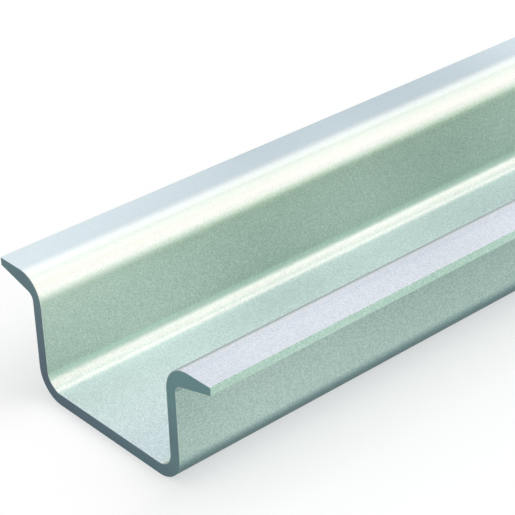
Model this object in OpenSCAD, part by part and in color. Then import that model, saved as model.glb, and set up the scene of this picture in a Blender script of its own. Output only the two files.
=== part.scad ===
// Top-hat mounting rail, 35 x 15 mm, rolled from one steel strip and left unpunched.
// X runs across the rail, Y along it and Z up. The rail lies on its base with the
// open channel upwards, and the origin is in the middle of the base's underside.

/* [Rail] */
// Width over the tips of the two flanges
rail_width = 35; // [34:0.5:50]
// Height from the underside of the base to the top of the flanges
rail_height = 15; // [13:0.5:30]
// Length of the piece
rail_length = 500; // [50:10:2000]

/* [Channel] */
// Width over the outer faces of the two webs
hat_width = 24; // [18:0.5:27]
// Thickness of the base and the webs
wall = 1.5; // [1:0.1:2]

/* [Flanges] */
// Thickness of a flange at its tip
tip_thickness = 1; // [0.6:0.1:1.5]
// Fall of a flange's underside from its tip to the web, in degrees
underside_slope = 15; // [0:1:20]

/* [Bends] */
// Inner radius of the bends between the base and the webs
base_bend_radius = 2; // [0.5:0.1:4]
// Radius of the bends from the top of the flanges down into the channel
lip_radius = 3.5; // [1.5:0.1:4]
// Radius of the fillets between the flanges' undersides and the webs
root_radius = 1; // [0.4:0.1:2]

/* [Hidden] */
$fn = 96;

// Cuts run this far past the faces that they open
overcut = 1;
// Outer and inner faces of the web
web_outer_x = hat_width / 2;
web_inner_x = web_outer_x - wall;
// Centre shared by the two arcs of a base bend
base_bend_x = web_inner_x - base_bend_radius;
base_bend_z = wall + base_bend_radius;
base_bend_outer_radius = wall + base_bend_radius;
// Centre of a lip's arc
lip_x = web_inner_x + lip_radius;
lip_z = rail_height - lip_radius;
// Lower edge of a flange's tip, and the sharp corner where its underside would meet the web
tip_x = rail_width / 2;
tip_z = rail_height - tip_thickness;
corner_z = tip_z - (tip_x - web_outer_x) * tan(underside_slope);
// How far along each face a root fillet reaches from that corner
root_reach = root_radius / tan((90 + underside_slope) / 2);

// Half of the base, flat on both sides
module base_strip() {
    square([base_bend_x, wall]);
}

// Quarter ring that turns the base up into the web
module base_bend() {
    translate([base_bend_x, base_bend_z])
        intersection() {
            difference() {
                circle(base_bend_outer_radius);
                circle(base_bend_radius);
            }
            translate([0, -base_bend_outer_radius])
                square(base_bend_outer_radius);
        }
}

// Upright web, from its bend to the top, where the relief of the lip rounds it off
module web_strip() {
    translate([web_inner_x, base_bend_z])
        square([wall, rail_height - base_bend_z]);
}

// Flange, flat on top and thickening towards the web, which its root covers
module flange_wedge() {
    polygon([
        [web_inner_x, corner_z],
        [web_outer_x, corner_z],
        [tip_x, tip_z],
        [tip_x, rail_height],
        [web_inner_x, rail_height]
    ]);
}

// Small fillet under the flange, in the corner with the web's outer face. Its block runs
// into both, so that the three fuse.
module root_fillet() {
    sunk = wall / 2;
    arc_x = web_outer_x + root_radius;
    arc_z = corner_z - root_reach;
    // A point on the line from the arc's centre square to the underside, at this distance
    function on_normal(d) = [arc_x - d * sin(underside_slope), arc_z + d * cos(underside_slope)];
    head = on_normal(root_radius + sunk);
    difference() {
        polygon([
            [web_outer_x - sunk, arc_z],
            [arc_x, arc_z],
            head,
            [web_outer_x - sunk, head[1]]
        ]);
        translate([arc_x, arc_z])
            circle(root_radius);
    }
}

// What is cut from the sharp inner corner so that the flange's top rolls down into the channel
module lip_relief() {
    difference() {
        translate([web_inner_x - overcut, lip_z])
            square([lip_radius + overcut, lip_radius + overcut]);
        translate([lip_x, lip_z])
            circle(lip_radius);
    }
}

// Half of the section, on the side of +X
module half_section() {
    difference() {
        union() {
            base_strip();
            base_bend();
            web_strip();
            flange_wedge();
            root_fillet();
        }
        lip_relief();
    }
}

// The whole section: a flat-bottomed channel with a flange out to each side
module section() {
    half_section();
    mirror([1, 0])
        half_section();
}

// The rail, cut square at both ends
module rail() {
    color([0.80, 0.86, 0.86])
        translate([0, rail_length / 2, 0])
            rotate([90, 0, 0])
                linear_extrude(rail_length)
                    section();
}

rail();
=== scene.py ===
"""A length of 35 x 15 mm top-hat mounting rail, dressed as zinc-plated steel with a faint
blue-green tint.

The rail's skin is remade from the section's own dimensions, with finer bends and broken edges, in
the box of the CAD node that it replaces. Everything is in metres: X across the rail, Y along it,
Z up.
"""

import math
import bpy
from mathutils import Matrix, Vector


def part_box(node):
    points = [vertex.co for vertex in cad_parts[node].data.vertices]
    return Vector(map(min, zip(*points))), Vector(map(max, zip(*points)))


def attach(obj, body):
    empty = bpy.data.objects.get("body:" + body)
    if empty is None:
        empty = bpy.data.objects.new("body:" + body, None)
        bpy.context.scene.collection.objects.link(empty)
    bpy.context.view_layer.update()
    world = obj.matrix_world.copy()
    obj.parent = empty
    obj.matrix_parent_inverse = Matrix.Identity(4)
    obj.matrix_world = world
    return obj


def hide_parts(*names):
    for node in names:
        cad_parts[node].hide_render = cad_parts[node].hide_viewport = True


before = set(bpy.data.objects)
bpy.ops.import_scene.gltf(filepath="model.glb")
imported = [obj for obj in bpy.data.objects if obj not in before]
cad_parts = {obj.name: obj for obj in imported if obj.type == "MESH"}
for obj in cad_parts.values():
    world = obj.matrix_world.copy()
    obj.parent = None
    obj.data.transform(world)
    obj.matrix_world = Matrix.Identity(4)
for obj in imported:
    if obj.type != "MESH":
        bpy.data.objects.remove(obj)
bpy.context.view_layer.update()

from types import SimpleNamespace

import bmesh
import bpy
from mathutils import Matrix, Vector

MM = 0.001

# ---------------------------------------------------------------- section, as in the CAD source
RAIL_LOW, RAIL_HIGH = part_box("rail")
WIDTH = RAIL_HIGH.x - RAIL_LOW.x
HEIGHT = RAIL_HIGH.z - RAIL_LOW.z
LENGTH = RAIL_HIGH.y - RAIL_LOW.y
HAT_WIDTH = 24 * MM
WALL = 1.5 * MM
TIP_THICKNESS = 1 * MM
UNDERSIDE_SLOPE = 15
BASE_BEND_RADIUS = 2 * MM
LIP_RADIUS = 3.5 * MM
ROOT_RADIUS = 1 * MM
WEB_OUTER = HAT_WIDTH / 2
WEB_INNER = WEB_OUTER - WALL
# Edges of the strip and of the cut ends, too small for the CAD source
TIP_EDGE_RADIUS = 0.07 * MM
CUT_EDGE_RADIUS = 0.05 * MM

# ---------------------------------------------------------------- fineness of the mesh
# Facets round each arc of the section, and round the broken edge of a cut end
BASE_INNER_STEPS = 20
BASE_OUTER_STEPS = 28
LIP_STEPS = 32
TIP_EDGE_STEPS = 5
ROOT_STEPS = 12
CUT_EDGE_STEPS = 3
# Bays along the rail, between the two cut edges
BAYS = 50
# The material slot of the cut ends: the zinc has slot 0
CUT_SLOT = 1

# ---------------------------------------------------------------- camera
# Viewpoint from the middle of the near end's foot, line of sight and tilt to the right
CAMERA_PLACE = Vector((132.6, -92.41, 114.87)) * MM
CAMERA_FORWARD = Vector((-0.65588, 0.56375, -0.502))
CAMERA_ROLL = -1.944
CAMERA_LENS = 129.87
CAMERA_SENSOR = 36
CAMERA_NEAREST = 0.01

# ---------------------------------------------------------------- studio
FLOOR_SIZE = 30
FLOOR_ALBEDO = 0.6
# What lifts the floor to white on the rays that show it
FLOOR_GLOW = 0.52
WORLD_FILL = 0.6
# Softboxes: name, place from the foot of the near end, size and the radiance of the face
LIGHTS = [
    ("overhead", (0.3, 0.9, 1.3), (1.4, 1.6), 1.2),
    ("right", (1.4, 1.0, 0.7), (1.2, 0.5), 1.6),
]

# ---------------------------------------------------------------- finish
# Tint by how far a face turns from facing up, in degrees: 90 is upright and 180 faces down.
# Faces that look up are pale blue and the webs are green. Light and shade are partly painted in: the
# rolls are warmer, paler at 15, 50 and 75 as painted highlight and darker at 30 and 60 where that
# highlight breaks; the webs, and the undersides at 165, are darker than the tops, partly as painted
# shade; and the outer bends of the base, which look down, are dark with painted shade.
TINTS_AND_SHADING = [
    (0, (0.60, 0.70, 0.75)),
    (15, (0.75, 0.80, 0.80)),
    (30, (0.50, 0.55, 0.50)),
    (50, (0.65, 0.65, 0.60)),
    (60, (0.55, 0.55, 0.55)),
    (75, (0.65, 0.75, 0.70)),
    (90, (0.45, 0.55, 0.50)),
    (105, (0.20, 0.30, 0.30)),
    (120, (0.05, 0.15, 0.15)),
    (145, (0.05, 0.15, 0.15)),
    (165, (0.40, 0.50, 0.50)),
]
# Painted light inside the channel, as a gain on the tint by height: a painted highlight on the
# fillets over the base, and the webs painted brighter towards the flanges
INSIDE_LIGHT_GAINS = [
    (2.0 * MM, (1.0, 1.0, 1.0)),
    (2.6 * MM, (1.2, 1.4, 1.3)),
    (3.2 * MM, (0.9, 1.0, 0.9)),
    (11.0 * MM, (1.3, 1.3, 1.2)),
]
# Painted light on the base, as a gain by distance from the left web: a little brighter and warmer on the
# left
BASE_LIGHT_GAINS = [
    (3.0 * MM, (1.2, 1.1, 1.1)),
    (18.0 * MM, (1.0, 1.0, 1.0)),
]
# Painted shade outside the webs, as a gain by height: darker under the flanges
OUTSIDE_SHADE_GAINS = [
    (3.0 * MM, (1.0, 1.1, 1.1)),
    (10.0 * MM, (0.8, 0.9, 0.9)),
]
# Painted light and shade on the top of the right flange, as a gain by distance from the middle: a
# dark bluish line of painted shade along the roll, and painted light brighter towards the tip
RIGHT_LIGHT_AND_SHADE_GAINS = [
    (11.2 * MM, (1.0, 1.0, 1.0)),
    (11.9 * MM, (0.6, 0.6, 0.8)),
    (12.5 * MM, (0.9, 0.9, 1.0)),
    (14.5 * MM, (1.2, 1.1, 1.1)),
]
# The undersides of the flanges and the fillets there, in the zinc's tint made darker than the tops as
# painted shade
UNDERSIDE_SHADE_COLOUR = (0.40, 0.50, 0.50)
# The strip's slit edges, at the tips of the flanges
TIP_COLOUR = (0.50, 0.70, 0.60)
# The share to which the rounded edge of a tip is darkened, a painted shade that damps its highlight
TIP_CORNER_SHADE = 0.6
# How much shows of the clouding, of the grain outside the channel and of the grain inside it, by
# how far a face turns from facing up: bends are burnished
LIVELINESS = [
    (10, (1.0, 0.2, 0.8)),
    (25, (0.3, 0.2, 0.5)),
    (65, (0.3, 0.2, 0.5)),
    (80, (0.9, 0.8, 0.8)),
    (95, (1.0, 0.6, 0.8)),
    (110, (0.2, 0.3, 0.3)),
]
# How much more of the grain shows on the right flange than on the left
RIGHT_GRAIN = 0.4
# Clouding along the rail: cells a metre, where each pattern is taken from, and how far it may be
# from the tint
CLOUDS = [
    (24, 1.0, 0.14),
    (36, 2.0, 0.08),
]
# Scale of the clouds along the rail: below 1 they are drawn out
CLOUD_SCALE_ALONG = 0.8
# The stretch of the noise that the clouds use, from darkest to palest
CLOUD_RANGE = (0.2, 0.8)
# Where along the rail the clouds fade, and how much of them is left
CLOUD_FADE = (100 * MM, 160 * MM)
CLOUD_LEFT = 0.45
# Crystals of the zinc: cells a metre, and how far a crystal may be from the tint
GRAIN_SCALE = 9500
GRAIN_SWING = 0.17
# The palest that the zinc may be
PALEST = 1.0
# The most that a gain may be, which scales it into a ColorRamp
GAIN_CEILING = 2.0
METALLIC = 0.75
ROUGHNESS = 0.38
ROUGHNESS_SWING = 0.05
# Grain in the roughness and the relief: cells a metre, and the share of each
FINE_SCALE = 7000
FINE_SHARE = 0.65
COARSE_SCALE = 2500
COARSE_SHARE = 0.35
ZINC_RELIEF = 0.3
RELIEF_HEIGHT = 0.01 * MM
# The stretch of the noise that the grain and the mottle use
GRAIN_RANGE = (0.3, 0.7)

# ---------------------------------------------------------------- zones of the section
# How far past the inner face of a web the inside of the channel starts to fade out, and ends
INSIDE_FADE = (0.1 * MM, 1 * MM)
# How far from the base's top, and from a web's outer face, a point may be and still count as there
BASE_SLACK = 0.15 * MM
WEB_SLACK = 0.2 * MM
# Parts of a normal: across on an upright face, up on a top face, and where a face starts to be
# and is fully an underside
UPRIGHT = 0.9
TOP = 0.5
UNDERSIDE = (-0.1, -0.4)
# Part of the normal across at which the painted shade on the rounded edge of a tip is at its darkest
TIP_CORNER = 0.8

# ---------------------------------------------------------------- cut end
# From its lower left to its upper right: the end is darker low and to the left as painted shade
CUT_COLOURS = ((0.10, 0.15, 0.20), (0.15, 0.30, 0.30))
# How far along these colours a place is. It rises with the height, above CUT_LOW of the whole
# height, and to that comes an amount that rises from the left web to the right one.
CUT_LOW = 0.35
CUT_BY_HEIGHT = (0.37, 0.8)
CUT_BY_WIDTH = (-0.32, 0.15)
CUT_MOTTLE_SCALE = 250
CUT_MOTTLE = 0.12
CUT_METALLIC = 0.5
CUT_GRAIN_SCALE = 6000
CUT_ROUGHNESS = (0.5, 0.65)
CUT_RELIEF = 0.2


def make_camera():
    """Close to the near end, to its right and above, so that the rail runs off to the top right."""
    data = bpy.data.cameras.new("camera")
    data.sensor_width = CAMERA_SENSOR
    data.lens = CAMERA_LENS
    data.clip_start = CAMERA_NEAREST
    data.clip_end = FLOOR_SIZE
    camera = bpy.data.objects.new("camera", data)
    bpy.context.scene.collection.objects.link(camera)
    camera.location = Vector((0, RAIL_LOW.y, RAIL_LOW.z)) + CAMERA_PLACE
    level = CAMERA_FORWARD.to_track_quat("-Z", "Y").to_matrix()
    turn = level @ Matrix.Rotation(math.radians(CAMERA_ROLL), 3, "Z")
    camera.rotation_euler = turn.to_euler()
    bpy.context.scene.camera = camera


# ---------------------------------------------------------------- node helpers
def new_material(name):
    """An empty node material, with its node tree and its output node."""
    material = bpy.data.materials.new(name)
    material.use_nodes = True
    tree = material.node_tree
    tree.nodes.clear()
    return material, tree, tree.nodes.new("ShaderNodeOutputMaterial")


def maths(tree, operation, first, second=None):
    """The output of a Math node. Each operand is a socket or a number."""
    node = tree.nodes.new("ShaderNodeMath")
    node.operation = operation
    for socket, value in zip(node.inputs, (first, second)):
        if isinstance(value, bpy.types.NodeSocket):
            tree.links.new(value, socket)
        elif value is not None:
            socket.default_value = value
    return node.outputs[0]


def span(tree, value, low, high, to_low, to_high, smooth=False):
    """Value carried from low..high to to_low..to_high, and held there outside it."""
    node = tree.nodes.new("ShaderNodeMapRange")
    node.clamp = True
    if smooth:
        node.interpolation_type = "SMOOTHSTEP"
    tree.links.new(value, node.inputs["Value"])
    ends = {"From Min": low, "From Max": high, "To Min": to_low, "To Max": to_high}
    for name, number in ends.items():
        node.inputs[name].default_value = number
    return node.outputs["Result"]


def noise(tree, where, scale, detail, seed=0.0):
    """The grey output of a Noise texture at this many cells a metre."""
    node = tree.nodes.new("ShaderNodeTexNoise")
    node.noise_dimensions = "4D"
    node.inputs["W"].default_value = seed
    tree.links.new(where, node.inputs["Vector"])
    node.inputs["Scale"].default_value = scale
    node.inputs["Detail"].default_value = detail
    return node.outputs["Fac"]


def ramp(tree, value, stops):
    """A ColorRamp over value, with stops as (place, colour)."""
    node = tree.nodes.new("ShaderNodeValToRGB")
    elements = node.color_ramp.elements
    while len(elements) < len(stops):
        elements.new(1.0)
    for element, (place, colour) in zip(elements, stops):
        element.position = place
        element.color = (*colour, 1)
    tree.links.new(value, node.inputs["Fac"])
    return node.outputs["Color"]


def times(tree, colour, factor):
    """A colour scaled by a number."""
    node = tree.nodes.new("ShaderNodeVectorMath")
    node.operation = "SCALE"
    tree.links.new(colour, node.inputs[0])
    node.inputs["Scale"].default_value = factor
    return node.outputs[0]


def between(tree, share, first, second):
    """First where share is 0 and second where it is 1. Both are number sockets."""
    node = tree.nodes.new("ShaderNodeMix")
    tree.links.new(share, node.inputs["Factor"])
    tree.links.new(first, node.inputs["A"])
    tree.links.new(second, node.inputs["B"])
    return node.outputs["Result"]


def combined(tree, operation, first, second):
    """Two colours put together channel by channel. The second is a socket or a tuple.

    A number socket counts as a grey."""
    node = tree.nodes.new("ShaderNodeVectorMath")
    node.operation = operation
    tree.links.new(first, node.inputs[0])
    if isinstance(second, bpy.types.NodeSocket):
        tree.links.new(second, node.inputs[1])
    else:
        node.inputs[1].default_value = second
    return node.outputs[0]


def mix_colour(tree, share, first, second):
    """First where share is 0 and second where it is 1. The second is a socket or a tuple."""
    node = tree.nodes.new("ShaderNodeMix")
    node.data_type = "RGBA"
    tree.links.new(share, node.inputs["Factor"])
    tree.links.new(first, node.inputs["A"])
    if isinstance(second, bpy.types.NodeSocket):
        tree.links.new(second, node.inputs["B"])
    else:
        node.inputs["B"].default_value = (*second, 1)
    return node.outputs["Result"]


def gained(tree, colour, share, value, stops):
    """Colour, multiplied where share is 1 by the gain that stops, as (value, gain), give for value."""
    reach = stops[-1][0]
    scaled = []
    for place, gains in stops:
        scaled.append((place / reach, tuple(gain / GAIN_CEILING for gain in gains)))
    gain = times(tree, ramp(tree, maths(tree, "DIVIDE", value, reach), scaled), GAIN_CEILING)
    return mix_colour(tree, share, colour, combined(tree, "MULTIPLY", colour, gain))


def separated(tree, kind, socket):
    """The outputs of a Separate XYZ or Separate Color node on this socket."""
    node = tree.nodes.new(kind)
    tree.links.new(socket, node.inputs[0])
    return node.outputs


def by_angle(tree, turn, stops):
    """A ColorRamp over turn, a share of 180 degrees, with stops as (degrees, colour)."""
    return ramp(tree, turn, [(angle / 180, colour) for angle, colour in stops])


def relieve(tree, shader, grain, strength):
    """Give the shader a fine relief from this grain."""
    bump = tree.nodes.new("ShaderNodeBump")
    bump.inputs["Strength"].default_value = strength
    bump.inputs["Distance"].default_value = RELIEF_HEIGHT
    tree.links.new(grain, bump.inputs["Height"])
    tree.links.new(bump.outputs["Normal"], shader.inputs["Normal"])


def shown_ray(tree):
    """1 on the rays that show a background: camera, glossy and transmission rays."""
    path = tree.nodes.new("ShaderNodeLightPath")
    seen = maths(tree, "MAXIMUM", path.outputs["Is Camera Ray"], path.outputs["Is Glossy Ray"])
    return maths(tree, "MAXIMUM", seen, path.outputs["Is Transmission Ray"])


# ---------------------------------------------------------------- studio
def make_world():
    """A white surround on the rays that show it, and a weaker even fill on everything else."""
    world = bpy.data.worlds.new("studio")
    bpy.context.scene.world = world
    world.use_nodes = True
    tree = world.node_tree
    tree.nodes.clear()
    out = tree.nodes.new("ShaderNodeOutputWorld")
    background = tree.nodes.new("ShaderNodeBackground")
    background.inputs["Color"].default_value = (1, 1, 1, 1)
    tree.links.new(span(tree, shown_ray(tree), 0, 1, WORLD_FILL, 1), background.inputs["Strength"])
    tree.links.new(background.outputs[0], out.inputs["Surface"])


def make_floor():
    """A wide pale floor that takes the rail's shadow and is lifted to white where it is fully lit."""
    bpy.ops.mesh.primitive_plane_add(size=FLOOR_SIZE, location=(0, 0, RAIL_LOW.z))
    floor = bpy.context.object
    floor.name = "floor"
    material, tree, out = new_material("floor")
    diffuse = tree.nodes.new("ShaderNodeBsdfDiffuse")
    diffuse.inputs["Color"].default_value = (FLOOR_ALBEDO, FLOOR_ALBEDO, FLOOR_ALBEDO, 1)
    glow = tree.nodes.new("ShaderNodeEmission")
    tree.links.new(maths(tree, "MULTIPLY", shown_ray(tree), FLOOR_GLOW), glow.inputs["Strength"])
    both = tree.nodes.new("ShaderNodeAddShader")
    tree.links.new(diffuse.outputs[0], both.inputs[0])
    tree.links.new(glow.outputs[0], both.inputs[1])
    tree.links.new(both.outputs[0], out.inputs["Surface"])
    floor.data.materials.append(material)


def soft_light(name, place, size, radiance):
    """A softbox whose face has this radiance, turned to the foot of the rail's near end."""
    data = bpy.data.lights.new(name, "AREA")
    data.shape = "RECTANGLE"
    data.size, data.size_y = size
    data.energy = radiance * math.pi * size[0] * size[1]
    light = bpy.data.objects.new(name, data)
    bpy.context.scene.collection.objects.link(light)
    light.location = Vector((0, RAIL_LOW.y, RAIL_LOW.z)) + Vector(place)
    light.rotation_euler = Vector(place).to_track_quat("Z", "Y").to_euler()


def make_lights():
    for name, place, size, radiance in LIGHTS:
        soft_light(name, place, size, radiance)


# ---------------------------------------------------------------- the rail's mesh
def arc(centre, radius, start, end, steps, hollow=False):
    """Points of an arc in degrees, each with the outward normal of the metal there.

    A hollow arc has the metal outside it."""
    points = []
    for i in range(steps + 1):
        turn = math.radians(start + (end - start) * i / steps)
        ray = Vector((math.cos(turn), math.sin(turn)))
        points.append((Vector(centre) + ray * radius, -ray if hollow else ray))
    return points


def half_outline():
    """The section on the side of +X, from the base's top round to its underside, as arcs joined by flats."""
    tip_x = WIDTH / 2
    tip_z = HEIGHT - TIP_THICKNESS
    slope = math.radians(UNDERSIDE_SLOPE)
    corner_z = tip_z - (tip_x - WEB_OUTER) * math.tan(slope)
    base_bend = (WEB_INNER - BASE_BEND_RADIUS, WALL + BASE_BEND_RADIUS)
    lip = (WEB_INNER + LIP_RADIUS, HEIGHT - LIP_RADIUS)
    edge = TIP_EDGE_RADIUS
    upper_edge = (tip_x - edge, HEIGHT - edge)
    lower_edge = (tip_x - edge, tip_z - edge * math.tan(slope) + edge / math.cos(slope))
    root_drop = ROOT_RADIUS / math.tan((math.pi / 2 + slope) / 2)
    root = (WEB_OUTER + ROOT_RADIUS, corner_z - root_drop)
    points = arc(base_bend, BASE_BEND_RADIUS, -90, 0, BASE_INNER_STEPS, hollow=True)
    points += arc(lip, LIP_RADIUS, 180, 90, LIP_STEPS)
    points += arc(upper_edge, edge, 90, 0, TIP_EDGE_STEPS)
    points += arc(lower_edge, edge, 0, -90 + UNDERSIDE_SLOPE, TIP_EDGE_STEPS)
    points += arc(root, ROOT_RADIUS, 90 + UNDERSIDE_SLOPE, 180, ROOT_STEPS, hollow=True)
    points += arc(base_bend, WALL + BASE_BEND_RADIUS, 0, -90, BASE_OUTER_STEPS)
    return points


def whole_outline():
    """The closed outline, running once round the section, as (point, outward normal)."""
    right = half_outline()
    flip = Vector((-1, 1))
    return right + [(p * flip, n * flip) for p, n in reversed(right)]


def ring_places():
    """Where the rings of the mesh lie, each as (y, inset, turn).

    Inset is how far the outline is drawn in there, and turn how far its normal turns to the end."""
    edge = CUT_EDGE_RADIUS
    near = []
    for i in range(CUT_EDGE_STEPS + 1):
        turn = math.pi / 2 * (1 - i / CUT_EDGE_STEPS)
        near.append((edge * (1 - math.sin(turn)), edge * (1 - math.cos(turn)), turn))
    body = LENGTH - 2 * edge
    middle = [(edge + body * i / BAYS, 0.0, 0.0) for i in range(1, BAYS)]
    far = [(LENGTH - y, inset, -turn) for y, inset, turn in reversed(near)]
    return near + middle + far


def make_rings(mesh):
    """The outline's rings along the rail, and the normal that each of their vertices shades with."""
    outline = whole_outline()
    rings = []
    normals = []
    for y, inset, turn in ring_places():
        ring = []
        for point, out in outline:
            place = point - out * inset
            ring.append(mesh.verts.new((place.x, RAIL_LOW.y + y, RAIL_LOW.z + place.y)))
            normals.append(Vector((out.x * math.cos(turn), -math.sin(turn), out.y * math.cos(turn))))
        rings.append(ring)
    return rings, normals


def join_rings(mesh, rings):
    """Smooth faces between each ring and the next."""
    count = len(rings[0])
    for first, second in zip(rings, rings[1:]):
        for i in range(count):
            j = (i + 1) % count
            mesh.faces.new((first[i], first[j], second[j], second[i])).smooth = True


def make_rail_mesh():
    """The rail's skin: the outline carried along it, and a flat cap on each cut end."""
    mesh = bmesh.new()
    rings, normals = make_rings(mesh)
    join_rings(mesh, rings)
    caps = [mesh.faces.new(rings[0]), mesh.faces.new(rings[-1])]
    for cap in caps:
        cap.material_index = CUT_SLOT
    bmesh.ops.recalc_face_normals(mesh, faces=mesh.faces)
    bmesh.ops.triangulate(mesh, faces=caps)
    data = bpy.data.meshes.new("rail_skin")
    mesh.to_mesh(data)
    mesh.free()
    corners = []
    for face in data.polygons:
        for i in face.loop_indices:
            on_cap = face.material_index == CUT_SLOT
            corners.append(face.normal if on_cap else normals[data.loops[i].vertex_index])
    data.normals_split_custom_set(corners)
    return data


# ---------------------------------------------------------------- materials
def surface(tree):
    """Sockets that say where a point of the rail lies and which way it faces.

    x, y and z are its place, off_middle is x without its sign, across and up are parts of its
    normal, and turn is how far it turns from facing up, as a share of 180 degrees."""
    coords = tree.nodes.new("ShaderNodeTexCoord").outputs
    spot = separated(tree, "ShaderNodeSeparateXYZ", coords["Object"])
    facing = separated(tree, "ShaderNodeSeparateXYZ", coords["Normal"])
    across = maths(tree, "ABSOLUTE", facing["X"])
    angle = maths(tree, "ARCTAN2", across, facing["Z"])
    return SimpleNamespace(
        place=coords["Object"],
        x=spot["X"],
        y=spot["Y"],
        z=spot["Z"],
        off_middle=maths(tree, "ABSOLUTE", spot["X"]),
        across=across,
        up=facing["Z"],
        turn=maths(tree, "DIVIDE", angle, math.pi),
    )


def channel_inside(tree, at):
    """1 inside the channel, falling to 0 over the rolls of the flanges."""
    fade_start, fade_end = (WEB_INNER + past for past in INSIDE_FADE)
    between_webs = span(tree, at.off_middle, fade_start, fade_end, 1, 0, smooth=True)
    above_base = maths(tree, "GREATER_THAN", at.z, WALL - BASE_SLACK)
    return maths(tree, "MULTIPLY", between_webs, above_base)


def right_flange_top(tree, at):
    """1 on the top of the right flange."""
    on_right = maths(tree, "GREATER_THAN", at.x, WEB_INNER)
    on_top = maths(tree, "GREATER_THAN", at.up, TOP)
    return maths(tree, "MULTIPLY", on_right, on_top)


def zinc_tint(tree, at, inside, right_top):
    """The zinc's colour without its grain and clouding, over the channel, the webs and a flange, with
    painted light and shade from its tints and gains.
    """
    # Tint by angle, with painted highlights on the rolls and painted shade on the webs and the base's outer
    # bends
    tint = by_angle(tree, at.turn, TINTS_AND_SHADING)
    # Painted light inside the channel: a highlight on the fillets, brighter webs towards the flanges
    tint = gained(tree, tint, inside, at.z, INSIDE_LIGHT_GAINS)
    low = maths(tree, "LESS_THAN", at.z, WALL + BASE_SLACK)
    on_base = maths(tree, "MULTIPLY", low, inside)
    from_left = maths(tree, "ADD", at.x, WEB_INNER)
    # Painted light: the base brighter and warmer towards the left web
    tint = gained(tree, tint, on_base, from_left, BASE_LIGHT_GAINS)
    upright = maths(tree, "GREATER_THAN", at.across, UPRIGHT)
    past_web = maths(tree, "GREATER_THAN", at.off_middle, WEB_OUTER - WEB_SLACK)
    outside = maths(tree, "MULTIPLY", upright, past_web)
    # Painted shade on the outer faces of the webs, under the flanges
    tint = gained(tree, tint, outside, at.z, OUTSIDE_SHADE_GAINS)
    # Painted shade along the right roll, and painted light towards the right tip
    return gained(tree, tint, right_top, at.x, RIGHT_LIGHT_AND_SHADE_GAINS)


def edge_tint(tree, at, tint):
    """Tint, with the undersides of the flanges in painted shade and the slit edges at their tips in their
    own colour, darkened on their rounded edges as painted shade.
    """
    start, full = UNDERSIDE
    facing_down = span(tree, at.up, full, start, 1, 0)
    high = maths(tree, "GREATER_THAN", at.z, HEIGHT / 2)
    under_flange_shade = maths(tree, "MULTIPLY", facing_down, high)
    # Painted shade on the undersides of the flanges
    tint = mix_colour(tree, under_flange_shade, tint, UNDERSIDE_SHADE_COLOUR)
    at_tip = maths(tree, "GREATER_THAN", at.off_middle, WIDTH / 2 - TIP_EDGE_RADIUS)
    # Painted shade on the rounded edge of a tip, damping its highlight
    flat_tip = span(tree, at.across, TIP_CORNER, 1.0, TIP_CORNER_SHADE, 1)
    tip = ramp(tree, flat_tip, [(0, (0, 0, 0)), (1, TIP_COLOUR)])
    return mix_colour(tree, at_tip, tint, tip)


def clouded(tree, at, tint, share):
    """Tint, with soft clouding that is fainter past the near stretch of the rail."""
    fade_start, fade_end = (RAIL_LOW.y + past for past in CLOUD_FADE)
    fade = span(tree, at.y, fade_start, fade_end, 1, CLOUD_LEFT, smooth=True)
    cloudiness = maths(tree, "MULTIPLY", fade, share)
    drawn_out = tree.nodes.new("ShaderNodeMapping")
    drawn_out.inputs["Scale"].default_value = (1, CLOUD_SCALE_ALONG, 1)
    tree.links.new(at.place, drawn_out.inputs["Vector"])
    for scale, seed, most in CLOUDS:
        cloud = noise(tree, drawn_out.outputs[0], scale, 1, seed)
        offset = maths(tree, "MULTIPLY", span(tree, cloud, *CLOUD_RANGE, -most, most), cloudiness)
        tint = combined(tree, "ADD", tint, offset)
    return tint


def speckled(tree, at, tint, share):
    """Tint, with each small crystal a little paler or darker than it."""
    crystals = tree.nodes.new("ShaderNodeTexVoronoi")
    crystals.inputs["Scale"].default_value = GRAIN_SCALE
    tree.links.new(at.place, crystals.inputs["Vector"])
    crystal = separated(tree, "ShaderNodeSeparateColor", crystals.outputs["Color"])
    speckle = span(tree, crystal["Red"], 0, 1, -GRAIN_SWING, GRAIN_SWING)
    return combined(tree, "ADD", tint, maths(tree, "MULTIPLY", speckle, share))


def zinc_colour(tree, at):
    """The zinc's whole colour: its tint with painted light and shade, clouding and crystals, kept below the
    palest.
    """
    inside = channel_inside(tree, at)
    right_top = right_flange_top(tree, at)
    tint = edge_tint(tree, at, zinc_tint(tree, at, inside, right_top))
    lively = by_angle(tree, at.turn, LIVELINESS)
    shows = separated(tree, "ShaderNodeSeparateColor", lively)
    tint = clouded(tree, at, tint, shows["Red"])
    right_grain = maths(tree, "MULTIPLY", right_top, RIGHT_GRAIN)
    outer_grain = maths(tree, "ADD", shows["Green"], right_grain)
    tint = speckled(tree, at, tint, between(tree, inside, outer_grain, shows["Blue"]))
    return combined(tree, "MINIMUM", tint, (PALEST, PALEST, PALEST))


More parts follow.
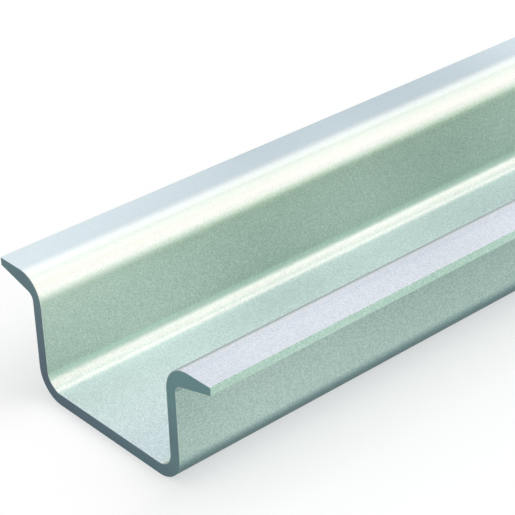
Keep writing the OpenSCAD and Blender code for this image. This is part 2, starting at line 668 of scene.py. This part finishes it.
def make_zinc():
    """Zinc over rolled strip: bluish on the flats, warmer on the rolls, greener on the webs, with painted
    highlights and painted shade in its colour.
    """
    material, tree, out = new_material("zinc")
    shader = tree.nodes.new("ShaderNodeBsdfPrincipled")
    shader.inputs["Metallic"].default_value = METALLIC
    at = surface(tree)
    tree.links.new(zinc_colour(tree, at), shader.inputs["Base Color"])
    fine = maths(tree, "MULTIPLY", noise(tree, at.place, FINE_SCALE, 2), FINE_SHARE)
    coarse = maths(tree, "MULTIPLY", noise(tree, at.place, COARSE_SCALE, 1), COARSE_SHARE)
    grain = maths(tree, "ADD", fine, coarse)
    smoothest = ROUGHNESS - ROUGHNESS_SWING
    roughest = ROUGHNESS + ROUGHNESS_SWING
    tree.links.new(span(tree, grain, *GRAIN_RANGE, smoothest, roughest), shader.inputs["Roughness"])
    relieve(tree, shader, grain, ZINC_RELIEF)
    tree.links.new(shader.outputs[0], out.inputs["Surface"])
    return material


def make_cut_steel():
    """The cut end: dark bare steel, faintly mottled, with painted shade that darkens it low and to the left.
    """
    material, tree, out = new_material("cut_steel")
    shader = tree.nodes.new("ShaderNodeBsdfPrincipled")
    shader.inputs["Metallic"].default_value = CUT_METALLIC
    place = tree.nodes.new("ShaderNodeTexCoord").outputs["Object"]
    spot = separated(tree, "ShaderNodeSeparateXYZ", place)
    # Painted shade: the cut end lighter upwards and to the right
    upwards = span(tree, spot["Z"], CUT_LOW * HEIGHT, HEIGHT, *CUT_BY_HEIGHT)
    rightwards = span(tree, spot["X"], -WEB_OUTER, WEB_OUTER, *CUT_BY_WIDTH)
    cloud = noise(tree, place, CUT_MOTTLE_SCALE, 2)
    mottle = span(tree, cloud, *GRAIN_RANGE, -CUT_MOTTLE, CUT_MOTTLE)
    blend = maths(tree, "ADD", maths(tree, "ADD", upwards, rightwards), mottle)
    colour = ramp(tree, blend, list(zip((0, 1), CUT_COLOURS)))
    tree.links.new(colour, shader.inputs["Base Color"])
    fine = noise(tree, place, CUT_GRAIN_SCALE, 2)
    roughness = span(tree, fine, *GRAIN_RANGE, *CUT_ROUGHNESS)
    tree.links.new(roughness, shader.inputs["Roughness"])
    relieve(tree, shader, fine, CUT_RELIEF)
    tree.links.new(shader.outputs[0], out.inputs["Surface"])
    return material


def make_rail():
    """The dressed rail, in place of its CAD node. The materials go in by slot: zinc, then cut steel."""
    rail = bpy.data.objects.new("rail_skin", make_rail_mesh())
    bpy.context.scene.collection.objects.link(rail)
    rail.data.materials.append(make_zinc())
    rail.data.materials.append(make_cut_steel())
    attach(rail, "root")
    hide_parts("rail")


make_camera()
make_world()
make_floor()
make_lights()
make_rail()
bpy.context.scene.view_settings.view_transform = "Standard"
